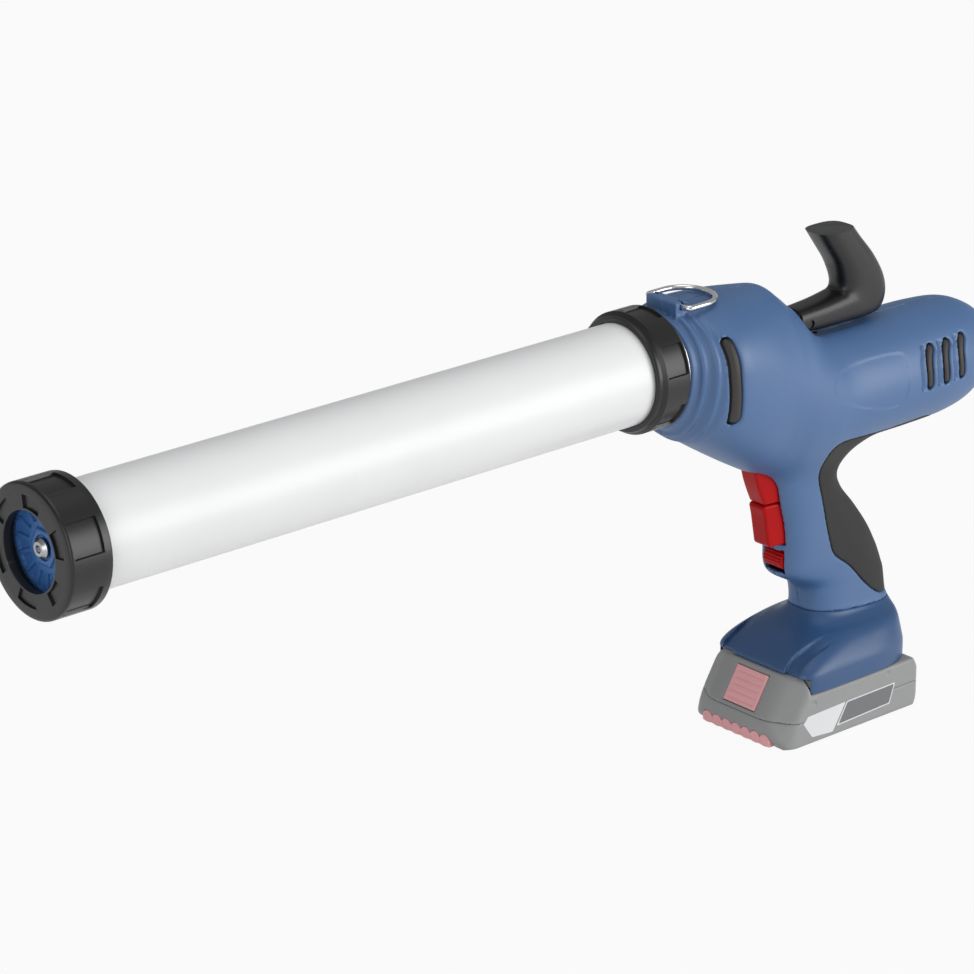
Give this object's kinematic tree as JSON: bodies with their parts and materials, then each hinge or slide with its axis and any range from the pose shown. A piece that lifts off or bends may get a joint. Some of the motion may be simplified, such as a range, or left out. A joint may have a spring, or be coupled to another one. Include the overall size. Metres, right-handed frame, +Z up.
{
  "type": "cordless caulking tool",
  "caption": "Cordless caulking tool: white barrel for foil packs, black end cap and union nut, rack rod with hook handle, pistol-grip body with a geared motor, and a slide-on battery.",
  "frame": {"origin": "barrel axis at the front face of the front cap, in the middle of the nozzle hole", "axes": "+X runs rearwards along the barrel, +Z is up, the tool's left side faces -Y"},
  "size_m": [0.648, 0.0848, 0.2775],
  "materials": {
    "barrel_white": "satin white coat",
    "black_plastic": "satin moulded black",
    "hook_black": "satin moulded black",
    "blue_plastic": "fine moulded texture",
    "foot_blue": "semi-gloss",
    "grip_rubber": "soft matt overmould",
    "slot_black": "satin",
    "red_plastic": "semi-gloss",
    "bright_wire": "bright zinc",
    "steel": "ground",
    "dark_steel": "blackened",
    "cast_aluminium": "die cast",
    "bright_aluminium": "turned",
    "bronze": "sintered",
    "copper": "lacquered copper wire",
    "magnet_grey": "ferrite",
    "ivory_plastic": "natural",
    "piston_blue": "semi-gloss",
    "seal_black": "smooth",
    "board_green": "coated board",
    "carbon_black": "carbon",
    "battery_grey": "fine moulded texture",
    "pink_red": "semi-gloss",
    "cell_sleeve": "shrink sleeve"
  },
  "bodies": {
    "housing": {"left_housing": "blue_plastic", "right_housing": "blue_plastic", "left_grip": "grip_rubber", "right_grip": "grip_rubber", "battery_foot": "foot_blue", "housing_screws": "dark_steel", "slot_trims": "slot_black", "vent_trims": "slot_black", "barrel_socket": "bright_aluminium", "switch_module": "black_plastic", "trigger_springs": "steel", "dial_pin": "steel", "gear_frame": "cast_aluminium", "rod_bushes": "ivory_plastic", "shaft_bushes": "bronze", "carrier_bearing": "steel", "ring_gear": "dark_steel", "gearbox_case": "cast_aluminium", "motor_can": "dark_steel", "motor_magnets": "magnet_grey", "brush_holder": "black_plastic", "carbon_brushes": "carbon_black", "motor_bearings": "steel", "control_board": "board_green", "terminal_block": "black_plastic"},
    "barrel": {"barrel_tube": "barrel_white"},
    "nut": {"union_nut": "black_plastic"},
    "cap": {"front_cap": "black_plastic"},
    "rod": {"piston": "piston_blue", "piston_seal": "seal_black", "piston_screw": "steel", "push_rod": "steel", "hook_handle": "hook_black", "hook_bolt": "steel"},
    "ring": {"hang_ring": "bright_wire"},
    "upper_trigger": {"upper_trigger": "red_plastic"},
    "lower_trigger": {"lower_trigger": "red_plastic"},
    "dial": {"speed_dial": "red_plastic"},
    "pinion": {"pinion_shaft": "steel", "drive_pinion": "dark_steel", "clutch_hub": "bronze"},
    "drive": {"drive_gear": "steel"},
    "bevel": {"bevel_shaft": "steel", "spur_pinion": "dark_steel", "bevel_gear": "steel"},
    "carrier": {"planet_carrier": "steel", "bevel_pinion": "steel"},
    "planet_1": {"planet_gear_1": "dark_steel"},
    "planet_2": {"planet_gear_2": "dark_steel"},
    "planet_3": {"planet_gear_3": "dark_steel"},
    "rotor": {"sun_gear": "steel", "motor_shaft": "steel", "cooling_fan": "black_plastic", "armature": "copper"},
    "battery": {"battery_tray": "battery_grey", "battery_cover": "battery_grey", "battery_ridge": "pink_red", "battery_cells": "cell_sleeve", "battery_board": "board_green"},
    "button": {"battery_button": "pink_red"}
  },
  "joints": [
    {"name": "barrel_slide", "type": "slide", "parent": "housing", "child": "barrel", "axis": [-1, 0, 0], "range_m": [0, 0.06]},
    {"name": "nut_turn", "type": "hinge", "parent": "barrel", "child": "nut", "pos_m": [0.385, 0, 0], "axis": [1, 0, 0], "range_deg": [0, 540]},
    {"name": "cap_slide", "type": "slide", "parent": "barrel", "child": "cap", "axis": [-1, 0, 0], "range_m": [0, 0.06]},
    {"name": "rod_slide", "type": "slide", "parent": "housing", "child": "rod", "axis": [1, 0, 0], "range_m": [0, 0.345]},
    {"name": "pinion_spin", "type": "hinge", "parent": "housing", "child": "pinion", "pos_m": [0.47, 0, -0.0145], "axis": [0, 1, 0], "range_deg": [0, 1890]},
    {"name": "ring_swing", "type": "hinge", "parent": "housing", "child": "ring", "pos_m": [0.409, 0, 0.0323], "axis": [0, -1, 0], "range_deg": [0, 150]},
    {"name": "upper_trigger_press", "type": "slide", "parent": "housing", "child": "upper_trigger", "axis": [1, 0, 0], "range_m": [0, 0.005], "stiffness_N_per_m": 600, "springref_m": -0.004},
    {"name": "lower_trigger_press", "type": "slide", "parent": "housing", "child": "lower_trigger", "axis": [1, 0, 0], "range_m": [0, 0.005], "stiffness_N_per_m": 600, "springref_m": -0.004},
    {"name": "dial_turn", "type": "hinge", "parent": "housing", "child": "dial", "pos_m": [0.4957, 0, -0.1334], "axis": [0, 1, 0], "range_deg": [0, 270]},
    {"name": "battery_slide", "type": "slide", "parent": "housing", "child": "battery", "axis": [-1, 0, 0], "range_m": [0, 0.09]},
    {"name": "button_press", "type": "slide", "parent": "battery", "child": "button", "axis": [0.8493, 0, -0.5279], "range_m": [0, 0.003], "stiffness_N_per_m": 800, "springref_m": -0.002},
    {"name": "rotor_spin", "type": "hinge", "parent": "housing", "child": "rotor", "pos_m": [0.58, 0, -0.0415], "axis": [1, 0, 0], "continuous": true},
    {"name": "carrier_spin", "type": "hinge", "parent": "housing", "child": "carrier", "pos_m": [0.51, 0, -0.0415], "axis": [1, 0, 0], "continuous": true},
    {"name": "bevel_spin", "type": "hinge", "parent": "housing", "child": "bevel", "pos_m": [0.47, 0, -0.0415], "axis": [0, 1, 0], "continuous": true},
    {"name": "drive_gear_spin", "type": "hinge", "parent": "housing", "child": "drive", "pos_m": [0.47, 0, -0.0145], "axis": [0, 1, 0], "continuous": true},
    {"name": "planet_1_spin", "type": "hinge", "parent": "carrier", "child": "planet_1", "pos_m": [0.53, 0, -0.0295], "axis": [1, 0, 0], "continuous": true},
    {"name": "planet_2_spin", "type": "hinge", "parent": "carrier", "child": "planet_2", "pos_m": [0.53, -0.01039, -0.0475], "axis": [1, 0, 0], "continuous": true},
    {"name": "planet_3_spin", "type": "hinge", "parent": "carrier", "child": "planet_3", "pos_m": [0.53, 0.01039, -0.0475], "axis": [1, 0, 0], "continuous": true}
  ],
  "couplings": [
    {"joint": "pinion_spin", "follows": "rod_slide", "rad_per_m": 95.238},
    {"joint": "carrier_spin", "follows": "rotor_spin", "ratio": 0.2},
    {"joint": "bevel_spin", "follows": "rotor_spin", "ratio": -0.1},
    {"joint": "drive_gear_spin", "follows": "rotor_spin", "ratio": 0.05},
    {"joint": "planet_1_spin", "follows": "rotor_spin", "ratio": -0.53333},
    {"joint": "planet_2_spin", "follows": "rotor_spin", "ratio": -0.53333},
    {"joint": "planet_3_spin", "follows": "rotor_spin", "ratio": -0.53333}
  ]
}
